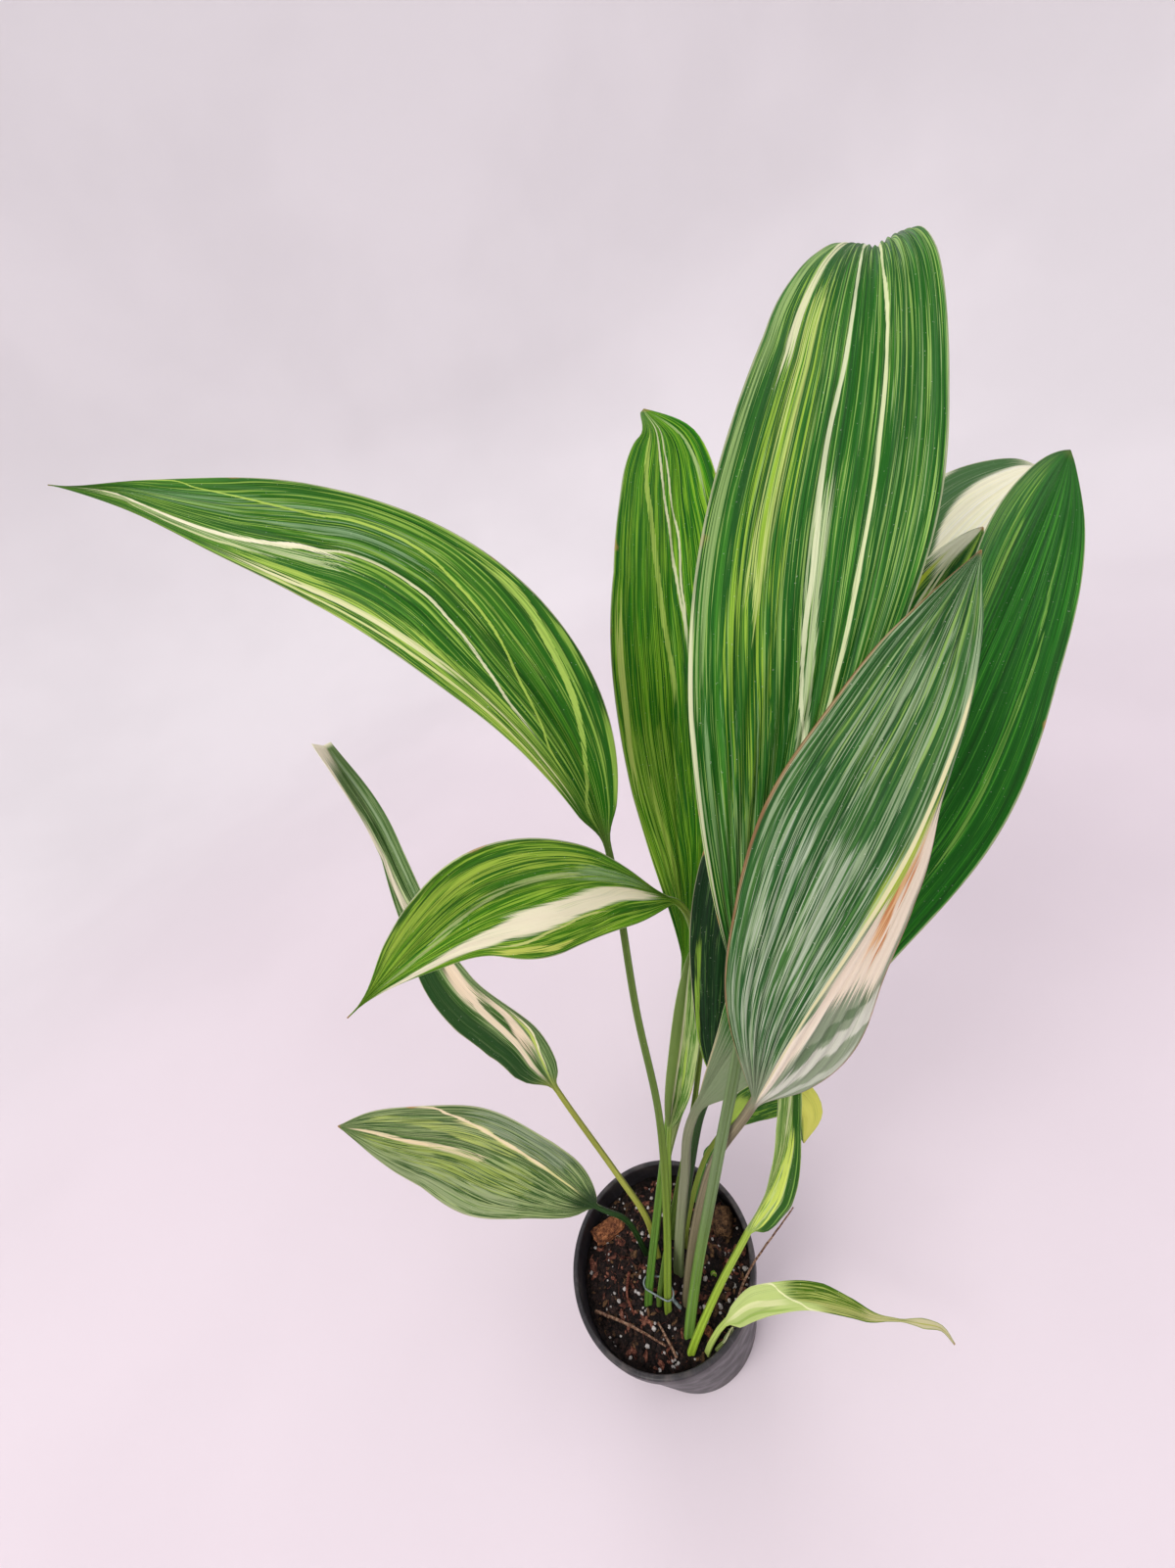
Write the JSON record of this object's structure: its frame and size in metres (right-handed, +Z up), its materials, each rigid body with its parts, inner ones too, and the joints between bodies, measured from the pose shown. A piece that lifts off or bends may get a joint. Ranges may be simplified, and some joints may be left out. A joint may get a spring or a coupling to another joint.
{
  "type": "potted cast iron plant",
  "caption": "Variegated broad-leaved house plant with long stalks, leaning to one side, standing in a plain round black nursery pot",
  "frame": {"origin": "centre of the flat underside of the pot, on the surface it stands on", "axes": "+Z up along the pot's axis; +X to the right, the side that the plant leans towards; +Y to the back"},
  "size_m": [0.6237, 0.3503, 0.7509],
  "materials": {
    "pot_plastic": "matte black, lightly scuffed",
    "potting_soil": "rough dark mix with white grains",
    "leaf_tall_front": "satin deep green blade with pale and cream stripes along its length",
    "leaf_front_bent": "satin grey-green underside with pale streaks and a cream band",
    "leaf_right_broad": "satin deep green with faint yellow-green streaks",
    "leaf_back_upright": "satin mid green with cream stripes and a yellow-green margin",
    "leaf_arching_left": "satin green with cream and yellow-green stripes",
    "leaf_left_middle": "satin green with one broad cream band",
    "leaf_shaded_upright": "satin dark green with a whitish margin",
    "leaf_right_cream": "satin cream band with a green outer margin",
    "leaf_right_striped": "satin dark green and cream stripes",
    "leaf_young_folded": "satin pale yellow-green and dark green halves",
    "leaf_right_folded": "satin yellow-green with a dark green half",
    "leaf_over_rim": "satin pale green with dark green and cream parts",
    "leaf_left_low": "satin green with a cream line along its middle",
    "leaf_left_twisted": "satin green with cream stripes",
    "leaf_drooping_small": "satin yellow-green with a drooping yellow tip",
    "leaf_tiny_back": "satin green",
    "leaf_sheath": "satin yellow-green young growth",
    "dry_twig": "dry brown fibre",
    "bark": "rough split bark",
    "tie_wire": "grey plastic coated wire"
  },
  "bodies": {
    "root": {"pot": "pot_plastic", "soil": "potting_soil", "leaf_tall_front": "leaf_tall_front", "leaf_front_bent": "leaf_front_bent", "leaf_right_broad": "leaf_right_broad", "leaf_back_upright": "leaf_back_upright", "leaf_arching_left": "leaf_arching_left", "leaf_left_middle": "leaf_left_middle", "leaf_shaded_upright": "leaf_shaded_upright", "leaf_right_cream": "leaf_right_cream", "leaf_right_striped": "leaf_right_striped", "leaf_young_folded": "leaf_young_folded", "leaf_right_folded": "leaf_right_folded", "leaf_over_rim": "leaf_over_rim", "leaf_left_low": "leaf_left_low", "leaf_left_twisted": "leaf_left_twisted", "leaf_drooping_small": "leaf_drooping_small", "leaf_tiny_back": "leaf_tiny_back", "sheath_over_rim": "leaf_sheath", "sprout": "leaf_sheath", "twig_long": "dry_twig", "twig_short": "dry_twig", "root_strand": "dry_twig", "dry_stalk": "dry_twig", "bark_chip_left": "bark", "bark_chip_right": "bark", "bark_chip_front": "bark", "tie": "tie_wire"}
  },
  "joints": []
}
